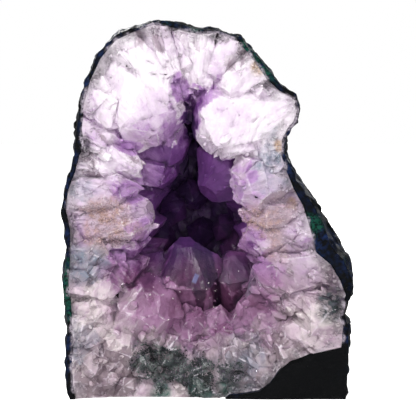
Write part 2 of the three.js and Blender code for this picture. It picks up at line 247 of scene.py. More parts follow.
# Crystals that stand out have a colour of their own: root, tip and radius in mm, purple at root and tip.
crystalReach = 1.1  # how far a crystal's colour goes: of its radius sideways, of its length from the root
crystalTaper = (1.2, 0.35)  # of its radius: at the root, and lost by the tip
crystalTip = (0.55, 1.05)  # of its length: where the colour of the tip begins and is full
crystals = [
    ((-54, -15, 158), (-20, -42, 131), 19, 0.0, 0.3),  # big milky one, upper left
    ((-42, -33, 170), (-15, -39, 142), 10, 0.0, 0.16),
    ((-26, -37, 178), (-14, -37, 144), 8, 0.05, 0.5),  # comb at the top
    ((-13, -35, 175), (-9, -33, 138), 7, 0.1, 0.55),
    ((-2, -38, 176), (-4, -36, 141), 7, 0.02, 0.3),
    ((11, -36, 171), (0, -35, 143), 9, 0.08, 0.6),
    ((25, -33, 160), (-1, -37, 142), 12, 0.0, 0.12),
    ((46, -27, 138), (-5, -39, 131), 18, 0.06, 0.1),  # big white one, upper right
    ((40, -33, 127), (2, -38, 124), 10, 0.04, 0.1),
    ((-60, -31, 146), (-36, -42, 128), 10, 0.1, 0.24),  # left rim, downwards
    ((-62, -35, 130), (-38, -39, 119), 8, 0.15, 0.42),
    ((-66, -25, 116), (-32, -41, 110), 13, 0.02, 0.14),
    ((-66, -31, 95), (-31, -39, 101), 11, 0.12, 0.42),
    ((-68, -25, 80), (-28, -37, 88), 13, 0.12, 0.22),
    ((-64, -31, 76), (-27, -31, 76), 9, 0.15, 0.45),
    ((-58, -23, 52), (-29, -33, 66), 11, 0.2, 0.55),
    ((-68, -33, 56), (-40, -40, 51), 9, 0.08, 0.2),
    ((-66, -27, 36), (-41, -40, 46), 11, 0.04, 0.14),
    ((-42, -17, 126), (-11, -21, 117), 12, 0.5, 0.62),  # purple ones behind it
    ((-46, -15, 112), (-15, -19, 107), 12, 0.5, 0.66),
    ((-40, -11, 95), (-17, -13, 99), 10, 0.6, 0.72),
    ((40, -25, 107), (14, -40, 101), 13, 0.14, 0.24),  # right rim, downwards
    ((43, -31, 86), (14, -36, 89), 10, 0.15, 0.34),
    ((48, -33, 81), (14, -32, 73), 10, 0.15, 0.55),
    ((62, -23, 63), (22, -39, 57), 14, 0.1, 0.34),
    ((64, -31, 44), (22, -34, 48), 11, 0.12, 0.48),
    ((62, -33, 26), (29, -39, 34), 10, 0.1, 0.18),
    ((18, -15, 118), (1, -26, 99), 15, 0.6, 0.7),  # purple one under the white one
    ((-40, -17, 20), (-27, -39, 52), 16, 0.14, 0.46),  # mauve one, lower left
    ((-10, -3, 28), (-11, -26, 70), 18, 0.9, 0.9),  # large dark one in the middle
    ((18, -7, 34), (11, -22, 66), 12, 0.65, 0.68),
    ((-34, -11, 42), (-22, -23, 69), 12, 0.5, 0.68),
    ((-13, -19, 20), (-12, -36, 43), 11, 0.3, 0.52),
    ((3, -19, 20), (6, -35, 44), 10, 0.3, 0.58),
    ((20, -21, 20), (17, -36, 42), 10, 0.25, 0.42),
]


def patchAt(points, patches, wobble):
    total = np.zeros(len(points))
    for x, z, radius, strength in patches:
        away = np.hypot(points[:, 0] - x, points[:, 2] - z) / radius + wobble
        total = np.maximum(total, strength * smooth(*zones["fade"], away))
    return np.clip(total, 0, 1)


def purpleOfCrystals(points, elsewhere):
    # each point takes the colour of the crystal whose axis is nearest for its radius
    purple = elsewhere.copy()
    nearest = np.full(len(points), crystalReach)
    for root, tip, radius, atRoot, atTip in crystals:
        axis = np.subtract(tip, root)
        along = np.clip((points - root) @ axis / (axis @ axis), 0, crystalReach)
        reach = radius * (crystalTaper[0] - crystalTaper[1] * along)
        away = np.linalg.norm(points - root - along[:, None] * axis, axis=1) / reach
        own = away < nearest
        nearest[own] = away[own]
        purple[own] = atRoot + (atTip - atRoot) * smooth(*crystalTip, along[own])
    return purple


def quartzZones(points):
    x, y, z = points.T
    broad = noiseAt(points, zones["broad"][0])
    fine = noiseAt(points, zones["fine"][0], 7.3)
    wobble = zones["broad"][1] * broad + zones["fine"][1] * fine
    front = smooth(*zones["front"], y)
    seat = points + (zones["gather"] * front)[:, None] * (cellCentres(points, zones["cell"]) - points)

    # purple round the hollow and in its depth, that in the depth partly painted shade, then the crystals'
    # own colours and the violet patches
    halfHigh = np.where(z > zones["middle"][1], zones["half"][1], zones["half"][2])
    away = np.hypot((x - zones["middle"][0]) / zones["half"][0], (z - zones["middle"][1]) / halfHigh)
    begins, full, ragged = zones["innerFade"]
    inner = smooth(begins, full, away + ragged * wobble)
    begins, full, wander = zones["deep"]
    deep = smooth(begins, full, y + wander * broad)
    atFront, inDepth = zones["innerPurple"]
    most, begins, full = zones["outerPurple"]
    purple = inner * (atFront + inDepth * deep) + (1 - inner) * most * smooth(begins, full, y)
    milk = patchAt(seat, zones["milk"], zones["columnRagged"] * wobble)
    purple *= 1 - zones["bleach"] * milk * front
    # painted shade: more purple on the faces behind the front
    most, begins, full = zones["shade"]
    purple = purpleOfCrystals(points, purple) + most * smooth(begins, full, y)
    purple = np.maximum(purple, patchAt(seat, zones["violet"], zones["columnRagged"] * wobble))

    # milk, paler upwards partly as painted light, mauve and darker lower down partly as painted shade, and
    # the dull skin, then the minerals of the broken front
    most, begins, full = zones["milkyAndLitTop"]
    milk = milk + most * smooth(begins, full, z) + zones["haze"]
    begins, full, wander = zones["mauve"]
    mauve = smooth(begins, full, z + wander * broad)
    most, begins, full, wander = zones["skin"]
    skin = most * smooth(begins, full, distanceToRind(points) + wander * fine)
    patches = {
        name: patchAt(seat if name == "chalcedony" else points, zones[name], ragged * wobble)
        for name, ragged in zones["ragged"].items()
    }
    patches["moss"] *= 1 - patches.pop("bare")
    return {
        "purple": np.clip(purple + zones["mottle"] * broad, 0, 1),
        "milk": milk,
        "mauve": mauve,
        "skin": skin * front,
        **{name: patch * front for name, patch in patches.items()},
    }


# Amethyst: milky quartz at the rind, grown on into clear purple points. The milk scatters light like
# frosted glass, the points let it through and tint it, and the broken rim glints from many small faces.
def amethystMaterial():
    look = {
        "milky": "#ede3ec", "lilacGrey": "#a594a0",  # milk and its greyer tone, above; the colours below are darker, partly as painted shade
        "cream": "#e0d4d6", "roseGrey": "#8f7f86",  # and below
        "lilac": "#d2b4d6", "bright": "#b98ec5", "violet": "#78448c", "deep": "#40205a",  # purples, above
        "rose": "#ba96b3", "heather": "#a07499", "mauve": "#744468", "plum": "#2a1030",  # and below
        "stops": (0.15, 0.36, 0.6, 1.0),  # amounts of purple at which those four colours are reached
        "tinted": (0.02, 0.34),  # amounts between which milk gives way to them
        "pink": "#b79ba6", "sand": "#bc9c96", "dusk": "#6b4d5c",  # the stain, its lumps and its dots
        "moss": "#4c5759", "mossDark": "#10191c",
        "ochre": "#c3a283", "celadon": "#1c5445", "chalcedony": "#848c9c",
        "skin": "#9d959c", "rock": "#15171d",
        "paintedCreviceShade": "#6b5570", "shadow": "#231030",  # painted shade in the crevices of pale and of purple quartz
        "sheen": "#8386b8",  # a painted reflection of the sky on one small face
        "spot": (-6.0, 0, 56.5),  # mm, the place of that face
        "spotSize": (1.1, 100, 2.1),  # mm, half its width, depth and height
        "spotTurn": -24,  # degrees
        "veil": (1.8, 14.0, 6.0),  # mm, veils along the columns: across, along and into the rim
        "bend": (9.0, 1.8),  # mm over which they bend, and by how much of their width
        "cloud": 4.5,  # mm, mottling
        "grit": 0.9,  # mm, uneven faces
        # how much the clouds, the veils and each face's own tint vary the purple and the milk
        "uneven": {"purple": (0.45, 0.15, 0.16), "milk": (1.6, 1.4, 1.0)},
        "clear": 0.4,  # of the light that the deepest purple lets through
        "inside": "#c99fd6",  # what is left of white light on its way through
        "insideDensity": 60.0,  # per metre
    }
    material, tree = newMaterial("milky amethyst quartz")
    layer = {
        name: addNode(tree, "Attribute", {"attribute_name": name}, "Fac")
        for name in (
            "purple", "milk", "mauve", "stain", "ochre", "moss", "chalcedony", "skin", "rock", "celadon",
            "edge", "facet", "seam",
        )
    }
    place = addNode(tree, "TexCoord", {}, "Object")
    cloud, grit = (
        addNode(
            tree, "TexNoise",
            {"Vector": place, "Scale": 1 / (look[name] * mm), "Detail": detail, "Roughness": rough},
        )
        for name, detail, rough in (("cloud", 5.0, 0.62), ("grit", 3.0, 0.6))
    )

    # growth runs out from the hollow's middle: turn round it, distance from it and depth
    middle = tuple(v * mm for v in growthMiddle)
    fromMiddle = addNode(tree, "VectorMath", {"operation": "SUBTRACT", 0: place, 1: middle})
    x, y, z = addNode(tree, "SeparateXYZ", {0: fromMiddle}).node.outputs
    turn = addNode(tree, "Math", {"operation": "ARCTAN2", 0: x, 1: z})
    away = addNode(tree, "VectorMath", {"operation": "LENGTH", 0: fromMiddle}, "Value")
    across, along, inwards = look["veil"]
    straight = addNode(tree, "CombineXYZ", {
        "X": addNode(tree, "Math", {"operation": "MULTIPLY", 0: turn, 1: growthRadius / across}),
        "Y": addNode(tree, "Math", {"operation": "MULTIPLY", 0: away, 1: 1 / (along * mm)}),
        "Z": addNode(tree, "Math", {"operation": "MULTIPLY", 0: y, 1: 1 / (inwards * mm)}),
    })
    over, much = look["bend"]
    bend = addNode(tree, "TexNoise", {"Vector": place, "Scale": 1 / (over * mm), "Detail": 2.0}, "Color")
    bent = addNode(tree, "VectorMath", {"operation": "MULTIPLY_ADD", 0: bend, 1: (much,) * 3, 2: straight})
    veil = addNode(tree, "TexNoise", {"Vector": bent, "Scale": 1.0, "Detail": 4.0, "Roughness": 0.6})

    # amounts of purple and milk, made uneven by the clouds, the veils and each face's own tint
    clouds, veils, faces, grits = (
        addNode(tree, "Math", {"operation": "SUBTRACT", 0: pattern, 1: 0.5})
        for pattern in (cloud, veil, layer["facet"], grit)
    )
    amounts = {}
    for name, strengths in look["uneven"].items():
        level = layer[name]
        for pattern, strength in zip((clouds, veils, faces), strengths):
            level = addNode(tree, "Math", {"operation": "MULTIPLY_ADD", 0: pattern, 1: strength, 2: level})
        level.node.use_clamp = True
        amounts[name] = level
    amount = amounts["purple"]
    ramps = []
    for tones in (("lilac", "bright", "violet", "deep"), ("rose", "heather", "mauve", "plum")):
        ramp = addNode(tree, "ValToRGB", {"Fac": amount}, "Color")
        stops = ramp.node.color_ramp.elements
        stops[0].position = look["stops"][0]
        stops[0].color = toLinear(look[tones[0]])
        stops[1].position = look["stops"][3]
        stops[1].color = toLinear(look[tones[3]])
        for i in (1, 2):
            stops.new(look["stops"][i]).color = toLinear(look[tones[i]])
        ramps.append(ramp)
    hue = addNode(tree, "Mix", {"data_type": "RGBA", 0: layer["mauve"], 6: ramps[0], 7: ramps[1]}, 2)
    upper, lower = (
        addNode(tree, "Mix", {"data_type": "RGBA", 0: amounts["milk"], 6: look[grey], 7: look[white]}, 2)
        for grey, white in (("lilacGrey", "milky"), ("roseGrey", "cream"))
    )
    colour = addNode(tree, "Mix", {"data_type": "RGBA", 0: layer["mauve"], 6: upper, 7: lower}, 2)
    begins, full = look["tinted"]
    share = addNode(tree, "MapRange", {"Value": amount, "From Min": begins, "From Max": full})
    colour = addNode(tree, "Mix", {"data_type": "RGBA", 0: share, 6: colour, 7: hue}, 2)

    # minerals that grew with the quartz or stained it later, in mottled patches
    lumps = addNode(tree, "MapRange", {"Value": cloud, "From Min": 0.38, "From Max": 0.62})
    stain = addNode(tree, "Mix", {"data_type": "RGBA", 0: lumps, 6: look["pink"], 7: look["sand"]}, 2)
    dots = addNode(tree, "MapRange", {"Value": grit, "From Min": 0.45, "From Max": 0.32, "To Max": 0.6})
    stain = addNode(tree, "Mix", {"data_type": "RGBA", 0: dots, 6: stain, 7: look["dusk"]}, 2)
    smoke = addNode(tree, "MapRange", {"Value": cloud, "From Min": 0.42, "From Max": 0.7})
    moss = addNode(tree, "Mix", {"data_type": "RGBA", 0: smoke, 6: look["mossDark"], 7: look["moss"]}, 2)
    patchy = addNode(tree, "Math", {"operation": "MULTIPLY_ADD", 0: clouds, 1: 3.0, 2: 0.8})
    patchy = addNode(tree, "Math", {"operation": "MULTIPLY_ADD", 0: grits, 1: 1.2, 2: patchy})
    paints = {"stain": stain, "moss": moss}
    for name in ("skin", "chalcedony", "stain", "ochre", "moss", "celadon", "rock"):
        strength = addNode(tree, "Math", {"operation": "MULTIPLY", 0: layer[name], 1: patchy})
        strength.node.use_clamp = True
        paint = paints[name] if name in paints else look[name]
        colour = addNode(tree, "Mix", {"data_type": "RGBA", 0: strength, 6: colour, 7: paint}, 2)

    # a painted reflection of the sky on a small face of the large dark crystal
    spotPlace = tuple(v * mm for v in look["spot"])
    spotSize = tuple(v * mm for v in look["spotSize"])
    spotTurn = math.radians(look["spotTurn"])
    spot = addNode(tree, "VectorMath", {"operation": "SUBTRACT", 0: place, 1: spotPlace})
    spot = addNode(tree, "VectorRotate", {"Vector": spot, "Axis": (0, 1, 0), "Angle": spotTurn})
    spot = addNode(tree, "VectorMath", {"operation": "DIVIDE", 0: spot, 1: spotSize})
    spot = addNode(tree, "VectorMath", {"operation": "ABSOLUTE", 0: spot})
    spotX, _, spotZ = addNode(tree, "SeparateXYZ", {0: spot}).node.outputs
    spot = addNode(tree, "Math", {"operation": "MAXIMUM", 0: spotX, 1: spotZ})
    spot = addNode(tree, "MapRange", {"Value": spot, "From Min": 1.15, "From Max": 0.75, "To Max": 0.75})
    colour = addNode(tree, "Mix", {"data_type": "RGBA", 0: spot, 6: colour, 7: look["sheen"]}, 2)

    # painted shade in the crevices, pale chipped edges that are partly painted highlights, and wisps of
    # milk
    paintedCreviceShade = addNode(
        tree, "MapRange", {"Value": cloud, "From Min": 0.4, "From Max": 0.6, "To Min": 0.1, "To Max": 0.8}
    )
    paintedCreviceShade = addNode(tree, "Math", {"operation": "MULTIPLY", 0: layer["seam"], 1: paintedCreviceShade})
    unmilky = addNode(tree, "MapRange", {"Value": layer["milk"], "To Min": 1.0, "To Max": 0.5})
    paintedCreviceShade = addNode(tree, "Math", {"operation": "MULTIPLY", 0: paintedCreviceShade, 1: unmilky})
    shadow = addNode(
        tree, "Mix", {"data_type": "RGBA", 0: layer["purple"], 6: look["paintedCreviceShade"], 7: look["shadow"]}, 2
    )
    colour = addNode(tree, "Mix", {"data_type": "RGBA", 0: paintedCreviceShade, 6: colour, 7: shadow}, 2)
    chips = addNode(tree, "MapRange", {"Value": cloud, "From Min": 0.47, "From Max": 0.6, "To Max": 0.8})
    chippedEdgeHighlight = addNode(tree, "Math", {"operation": "MULTIPLY", 0: layer["edge"], 1: chips})
    colour = addNode(tree, "Mix", {"data_type": "RGBA", 0: chippedEdgeHighlight, 6: colour, 7: look["milky"]}, 2)
    pale = addNode(
        tree, "MapRange", {"Value": amount, "From Min": 0.1, "From Max": 0.5, "To Min": 0.4, "To Max": 0.0}
    )
    wisps = addNode(tree, "MapRange", {"Value": veil, "From Min": 0.6, "From Max": 0.72})
    wisps = addNode(tree, "Math", {"operation": "MULTIPLY", 0: wisps, 1: pale})
    colour = addNode(tree, "Mix", {"data_type": "RGBA", 0: wisps, 6: colour, 7: look["milky"]}, 2)

    # clean purple lets light through, and stains, moss and skin are dull
    dull = addNode(tree, "Math", {"operation": "MAXIMUM", 0: layer["stain"], 1: layer["moss"]})
    dull = addNode(tree, "Math", {"operation": "MAXIMUM", 0: dull, 1: layer["skin"]})
    clean = addNode(tree, "Math", {"operation": "SUBTRACT", 0: 1.0, 1: dull, "use_clamp": True})
    clear = addNode(tree, "Math", {"operation": "MULTIPLY", 0: amount, 1: look["clear"]})
    clear = addNode(tree, "Math", {"operation": "MULTIPLY", 0: clear, 1: clean})
    polish = addNode(tree, "MapRange", {"Value": layer["facet"], "To Min": 0.06, "To Max": 0.36})
    frost = addNode(tree, "Math", {"operation": "MULTIPLY_ADD", 0: amount, 1: 0.35, 2: polish})
    roughness = addNode(tree, "Math", {"operation": "MULTIPLY_ADD", 0: dull, 1: 0.4, 2: frost})
    streaks = addNode(tree, "MapRange", {"Value": amount, "From Max": 0.6, "To Min": 1.2, "To Max": 0.2})
    streaks = addNode(tree, "Math", {"operation": "MULTIPLY", 0: streaks, 1: clean})
    height = addNode(tree, "Math", {"operation": "MULTIPLY_ADD", 0: veil, 1: streaks, 2: grit})
    bump = addNode(tree, "Bump", {"Height": height, "Strength": 0.35, "Distance": 0.5 * mm})
    surface = addNode(tree, "BsdfPrincipled", {
        "Base Color": colour,
        "Roughness": roughness,
        "Transmission Weight": clear,
        "Normal": bump,
        "IOR": 1.544,
        "Specular IOR Level": 0.3,
        "Subsurface Weight": 0.3,
        "Subsurface Radius": (1.0, 0.85, 1.0),
        "Subsurface Scale": 3.0 * mm,
    })
    inside = addNode(tree, "VolumeAbsorption", {"Color": look["inside"], "Density": look["insideDensity"]})
    addNode(tree, "OutputMaterial", {"Surface": surface, "Volume": inside})
    return material


amethyst = amethystMaterial()
print("materials: amethyst")


# The crust: the solid's crystals, with faces made uneven, edges chipped and the rim broken into facets.
crustLook = {
    "longest": 1.4,  # mm, longest edge where it shows
    "buried": 1.3,  # mm from the rind, within which a face doesn't show
    "foot": 0.6,  # mm above the floor, below which it doesn't either
    "sharpAngle": 12,  # degrees between two faces that belong to different facets
    "shadeAngle": 8,  # degrees past which an edge is shaded sharp
    "tintSeed": 5,
    "rim": (-28, -38),  # mm, depths at which the broken rim begins and is full
    "grownPurple": (0.3, 0.6),  # amounts of purple at which grown faces begin to take over and have
    "rimLoss": {"purple": 0.75, "stain": 0.7, "calm": 0.75},  # of the rim's relief that is gone there
    # x, z and radius in mm of the broad faces that broke clean
    "calm": [(-34, 142, 22), (20, 132, 22), (-30, 42, 15), (24, 102, 13), (-47, 101, 10), (42, 60, 12)],
    "calmFade": (1.1, 0.7),  # of that radius: where they begin and are full
    "noise": (8.0, 3.2, 1.5),  # mm, sizes of the big, small and tiny unevenness
    "rimRough": 0.35,  # mm, unevenness of the broken rim
    "rimMix": (0.5, 0.6, 0.6),  # shares of those three in it
    "columns": [((7.0, 17.0, 12.0), 2.6), ((3.4, 8.0, 6.0), 1.2)],  # mm, sizes of facets and their relief
    "ownNoise": 0.13,  # of a column, size of the noise that gives each its own level and slopes
    "levelShare": 0.4,  # of the level in the relief
    "seam": 0.25,  # mm, depth of the seams between them
    "seamWidth": 0.14,  # of a column
    "seamShade": 0.5,  # how dark the painted shade in them is
    "crevice": 0.9,  # mm, depth of the crevices between crystals
    "creviceSpread": 0.55,  # of it that is left at the next point of the mesh
    "shallow": (0.6, 44, 34),  # less of it at the foot: share, and mm where that begins and is full
    "faceRough": 0.1,  # mm, unevenness of grown faces
    "faceMix": (0.6, 0.6),  # shares of the big and the small in it
    "grownShare": 0.3,  # of the rim's relief that they have too
    "chip": 0.6,  # mm, chips along the edges
    "chipMix": (0.2, 1.2, 0.6),  # how common they are, and shares of the small and the tiny
    "warp": (1.3, 17.0),  # mm, bending of whole crystals, and over what length
    "held": (0.6, 3.0),  # mm from the rind, where the relief begins and is full
    "footHeld": (0.5, 2.5),  # the same above the floor
    "close": 0.6,  # mm, by which its outer edge closes up to the rind
    "closeReach": (1.6, 0.7),  # mm from the rind, where that begins and is full
    "closeDepth": (-30, -34),  # mm, and the depths
}


def markFacets(bm):
    # gives each flat facet a tint of its own
    facet = bm.faces.layers.float.new("facet")
    limit = math.radians(crustLook["sharpAngle"])
    flat = {e for e in bm.edges if len(e.link_faces) == 2 and e.calc_face_angle() < limit}
    draw = np.random.default_rng(crustLook["tintSeed"])
    seen = set()
    for start in bm.faces:
        if start in seen:
            continue
        tint = float(draw.random())
        queue = [start]
        seen.add(start)
        while queue:
            face = queue.pop()
            face[facet] = tint
            for e in face.edges:
                if e in flat:
                    for other in e.link_faces:
                        if other not in seen:
                            seen.add(other)
                            queue.append(other)


def columnsAt(points, size):
    # the rim is broken along those columns: relief of their faces, seams and tints
    places, owners, gaps, _ = cellsAt(points, size)
    shifts = (3.3, 11.7, 19.1)
    level, slopeAcross, slopeAlong = (noiseAt(owners, crustLook["ownNoise"], shift) for shift in shifts)
    inside = places - owners
    relief = crustLook["levelShare"] * level + slopeAcross * inside[:, 0] + slopeAlong * inside[:, 1]
    return relief, smooth(crustLook["seamWidth"], 0.0, gaps), np.clip(0.5 + level, 0, 1)


def spread(mesh, values):
    # lets values fade out over the neighbouring points
    ends = np.empty(len(mesh.edges) * 2, dtype=np.int64)
    mesh.edges.foreach_get("vertices", ends)
    ends = ends.reshape(-1, 2)
    left = crustLook["creviceSpread"]
    for _ in range(2):
        wider = values.copy()
        np.maximum.at(wider, ends[:, 0], left * values[ends[:, 1]])
        np.maximum.at(wider, ends[:, 1], left * values[ends[:, 0]])
        values = wider
    return values


def makeCrust():
    look = crustLook
    bm = weldedCopy("crystal_crust")
    markFacets(bm)
    coarse = np.array([v.co for v in bm.verts]) / mm
    fromRind = dict(zip(bm.verts, distanceToRind(coarse)))
    shown = bm.faces.layers.int.new("shown")
    for face in bm.faces:
        buried = all(fromRind[v] < look["buried"] for v in face.verts)
        under = all(v.co.z < look["foot"] * mm for v in face.verts)
        face[shown] = 0 if buried or under else 1
    refine(bm, look["longest"], lambda f: f[shown])
    edge = bm.verts.layers.float.new("edge")
    crevice = bm.verts.layers.float.new("crevice")
    limit = math.radians(look["sharpAngle"])
    for e in bm.edges:
        if len(e.link_faces) == 2 and e.calc_face_angle() > limit:
            for v in e.verts:
                v[edge if e.is_convex else crevice] = 1.0
    mesh = bpy.data.meshes.new("crystalCrust")
    bm.to_mesh(mesh)
    bm.free()

    # where it is broken, where it is grown, and where it has to stay put
    points = pointsOf(mesh)
    x, y, z = points.T
    paint = quartzZones(points)
    less, begins, full = look["shallow"]
    crevices = spread(mesh, layerOf(mesh, "crevice")) * (1 - less * smooth(begins, full, z))
    edges = layerOf(mesh, "edge") * (1 - crevices)
    gaps = distanceToRind(points)
    free = smooth(*look["held"], gaps) * smooth(*look["footHeld"], z)
    grownPurple = smooth(*look["grownPurple"], paint["purple"])
    rim = smooth(*look["rim"], y) * (1 - look["rimLoss"]["purple"] * grownPurple)
    rim *= 1 - look["rimLoss"]["stain"] * paint["stain"]
    for middleX, middleZ, radius in look["calm"]:
        away = np.hypot(x - middleX, z - middleZ) / radius
        rim *= 1 - look["rimLoss"]["calm"] * smooth(*look["calmFade"], away)

    # the relief, along the normals
    shifts = (0.0, 3.1, 9.7)
    big, small, tiny = (noiseAt(points, size, shift) for size, shift in zip(look["noise"], shifts))
    ofBig, ofSmall, ofTiny = look["rimMix"]
    broken = look["rimRough"] * (ofBig * big + ofSmall * small + ofTiny * tiny)
    seams = np.zeros(len(points))
    for size, height in look["columns"]:
        relief, seam, _ = columnsAt(points, size)
        broken += height * relief - look["seam"] * seam
        seams = np.maximum(seams, seam)
    ofBig, ofSmall = look["faceMix"]
    grown = look["faceRough"] * (ofBig * big + ofSmall * small) + look["grownShare"] * broken
    common, ofSmall, ofTiny = look["chipMix"]
    chips = -look["chip"] * edges * np.clip(common + ofSmall * small + ofTiny * tiny, 0, 1)
    warpHeight, warpLength = look["warp"]
    warp = warpHeight * noiseAt(points, warpLength, 1.7)
    push = free * (warp + rim * broken + (1 - rim) * grown + chips - look["crevice"] * crevices)
    push += look["close"] * smooth(*look["closeReach"], gaps) * smooth(*look["closeDepth"], y)
    corners = trianglesOf(mesh)
    shaped = points + normalsOf(mesh) * push[:, None]
    shaped[:, 2] = np.maximum(shaped[:, 2], 0)
    placePoints(mesh, shaped)

    # layers for the material: a tint for each face, and for the points seams and crevices that take painted
    # shade, chipped edges that are partly painted highlights, and zones
    tint = np.empty(len(corners))
    mesh.attributes["facet"].data.foreach_get("value", tint)
    centres = points[corners].mean(1)
    for size, _ in look["columns"]:
        tint += (columnsAt(centres, size)[2] - 0.5) * rim[corners].mean(1)
    mesh.attributes["facet"].data.foreach_set("value", np.clip(tint, 0, 1).astype(np.float32))
    # the pale chipped edges stand partly for painted highlights on the convex edges
    chippedEdgeHighlight = edges * (1 - grownPurple)
    mesh.attributes["edge"].data.foreach_set("value", chippedEdgeHighlight.astype(np.float32))
    # the seams and crevices are darkened as painted shade
    paint["seam"] = np.maximum(look["seamShade"] * seams * rim, crevices)
    for name, values in paint.items():
        writeLayer(mesh, name, values)
    mesh.shade_smooth()
    mesh.set_sharp_from_angle(angle=math.radians(look["shadeAngle"]))
    piece = addObject("crystalCrust", mesh, amethyst)
    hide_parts("crystal_crust")
    print("crust:", len(mesh.polygons), "triangles")
    return piece


crust = makeCrust()


# Druse: small crystals that grow on the crust, in the hollow, round the rim and in the stained patches, and
# tiny white ones as painted glints.
druseLook = {
    "seed": 11,
    "sides": 6,
    "clear": 1.2,  # mm, they grow no nearer to the rind
    "front": (-28, -36),  # mm, depths at which the front begins and is full
    "low": (44, 34),  # mm, heights at which the foot begins and is full
    "rimTop": (128, 116),  # mm, the same for the part of the rim that has them
    "rimPurple": (0.6, 0.3),  # amounts of purple at which the rim's crystals begin and are full
    "hollowPurple": (0.45, 0.7),  # the same for those of the hollow
    "footBottom": (1, 4),  # mm, heights above which the foot's begin and are full
    "sparkleTop": (66, 52),  # mm, heights where the tiny white ones, painted glints, begin and are full, from above
    "sparkleBottom": (24, 32),  # and from below
    "sparkleSide": (36, 24),  # mm, and to the left and the right
    "hollowFront": 0.7,  # of the hollow's crystals that are missing at the front
    "mossed": 0.8,  # of the foot's that the moss covers
    "rootDepth": 0.9,  # of the radius, by which a crystal is sunk in
    "rootWidth": 0.9,  # of the radius, at its root
    "lengths": (0.7, 0.6),  # of its length: least, and how much more the longest has
    "shoulder": 0.35,  # of the radius, by which its shoulders are uneven
    "tipShift": 0.35,  # of the radius, by which its tip is off the axis
    "pointLength": 0.55,  # of its length, the pointed part
    "kinds": [
        # name, count, radius in mm from and to, length over radius, straying, leaning towards the hollow
        ("hollow", 140, 0.25, 1.0, 2.0, 0.6, 0.0),
        ("rim", 60, 0.8, 3.0, 2.2, 0.35, 1.4),
        ("foot", 60, 0.6, 2.6, 2.0, 0.5, 0.7),
        # tiny crystals painted pure white as painted glints
        ("sparkle", 90, 0.12, 0.4, 1.6, 0.6, 0.0),
        ("stain", 1500, 0.25, 0.6, 1.5, 0.7, 0.0),
        ("skin", 900, 0.3, 0.9, 1.5, 0.7, 0.0),
    ],
}


def makeDruse():
    look = druseLook
    draw = np.random.default_rng(look["seed"])
    a, b, c, corners = cornersOf(crust.data)
    normal = np.cross(b - a, c - a)
    area = np.linalg.norm(normal, axis=1) / 2
    normal /= np.maximum(2 * area, 1e-9)[:, None]
    centre = (a + b + c) / 3
    x, y, z = centre.T
    purple, stain, moss, skin = (
        layerOf(crust.data, name)[corners].mean(1) for name in ("purple", "stain", "moss", "skin")
    )
    shown = distanceToRind(centre) > look["clear"]
    inFront = smooth(*look["front"], y)
    low = smooth(*look["low"], z)
    rim = inFront * (1 - low) * smooth(*look["rimTop"], z) * smooth(*look["rimPurple"], purple)
    sparkle = smooth(*look["sparkleTop"], z) * smooth(*look["sparkleBottom"], z)
    share = {
        "hollow": smooth(*look["hollowPurple"], purple) * (1 - look["hollowFront"] * inFront),
        "rim": rim * (1 - stain),
        "foot": inFront * low * smooth(*look["footBottom"], z) * (1 - look["mossed"] * moss),
        "sparkle": sparkle * smooth(*look["sparkleSide"], abs(x)),
        "stain": stain**2,
        "skin": skin**2,
    }
    sides = look["sides"]
    turns = np.arange(sides) * math.pi / (sides / 2)
    slanted = [0.3, 0.5, 0.81]  # a direction that no axis follows
    verts, faces, bright = [], [], []
    for name, count, smallest, largest, slender, stray, inwards in look["kinds"]:
        weight = share[name] * area * shown
        pick = draw.choice(len(corners), count, p=weight / weight.sum())
        u = draw.random(count)
        v = draw.random(count)
        over = u + v > 1
        u[over] = 1 - u[over]
        v[over] = 1 - v[over]
        root = a[pick] + u[:, None] * (b - a)[pick] + v[:, None] * (c - a)[pick]
        toMiddle = np.array(growthMiddle) - root
        toMiddle[:, 1] = 0
        toMiddle /= np.linalg.norm(toMiddle, axis=1)[:, None]
        axis = normal[pick] + inwards * toMiddle + stray * draw.normal(size=(count, 3))
        axis /= np.linalg.norm(axis, axis=1)[:, None]
        radius = smallest + (largest - smallest) * draw.random(count) ** 2
        length = radius * slender * (look["lengths"][0] + look["lengths"][1] * draw.random(count))
        side = np.cross(axis, slanted)
        side /= np.linalg.norm(side, axis=1)[:, None]
        other = np.cross(axis, side)
        roll = draw.random(count) * math.pi
        for i in range(count):
            angles = turns + roll[i]
            ring = [radius[i] * (math.cos(t) * side[i] + math.sin(t) * other[i]) for t in angles]
            deep = root[i] - look["rootDepth"] * radius[i] * axis[i]
            high = root[i] + length[i] * (1 - look["pointLength"]) * axis[i]
            heights = draw.uniform(-look["shoulder"], look["shoulder"], sides) * radius[i]
            first = len(verts)
            verts.extend(deep + look["rootWidth"] * r for r in ring)
            verts.extend(high + r + h * axis[i] for r, h in zip(ring, heights))
            verts.append(root[i] + length[i] * axis[i] + look["tipShift"] * ring[i % sides])
            bright.extend((len(verts) - first) * [name == "sparkle"])
            tip = first + 2 * sides
            for k in range(sides):
                n = (k + 1) % sides
                faces.append((first + k, first + n, first + sides + n, first + sides + k))
                faces.append((first + sides + k, first + sides + n, tip))
            faces.append(tuple(first + k for k in reversed(range(sides))))
    mesh = bpy.data.meshes.new("druse")
    spots = np.array(verts)
    spots[:, 2] = np.maximum(spots[:, 2], floorGap)
    mesh.from_pydata((spots * mm).tolist(), [], faces)
    paint = quartzZones(spots)
    # the sparkle crystals are painted white as painted glints
    paint["purple"][bright] = 0
    paint["milk"][bright] = 1
    for layer, values in paint.items():
        writeLayer(mesh, layer, values)
    tint = mesh.attributes.new("facet", "FLOAT", "FACE")
    tint.data.foreach_set("value", draw.random(len(faces)).astype(np.float32))
    piece = addObject("druse", mesh, amethyst)
    print("druse:", len(mesh.polygons), "faces")


makeDruse()


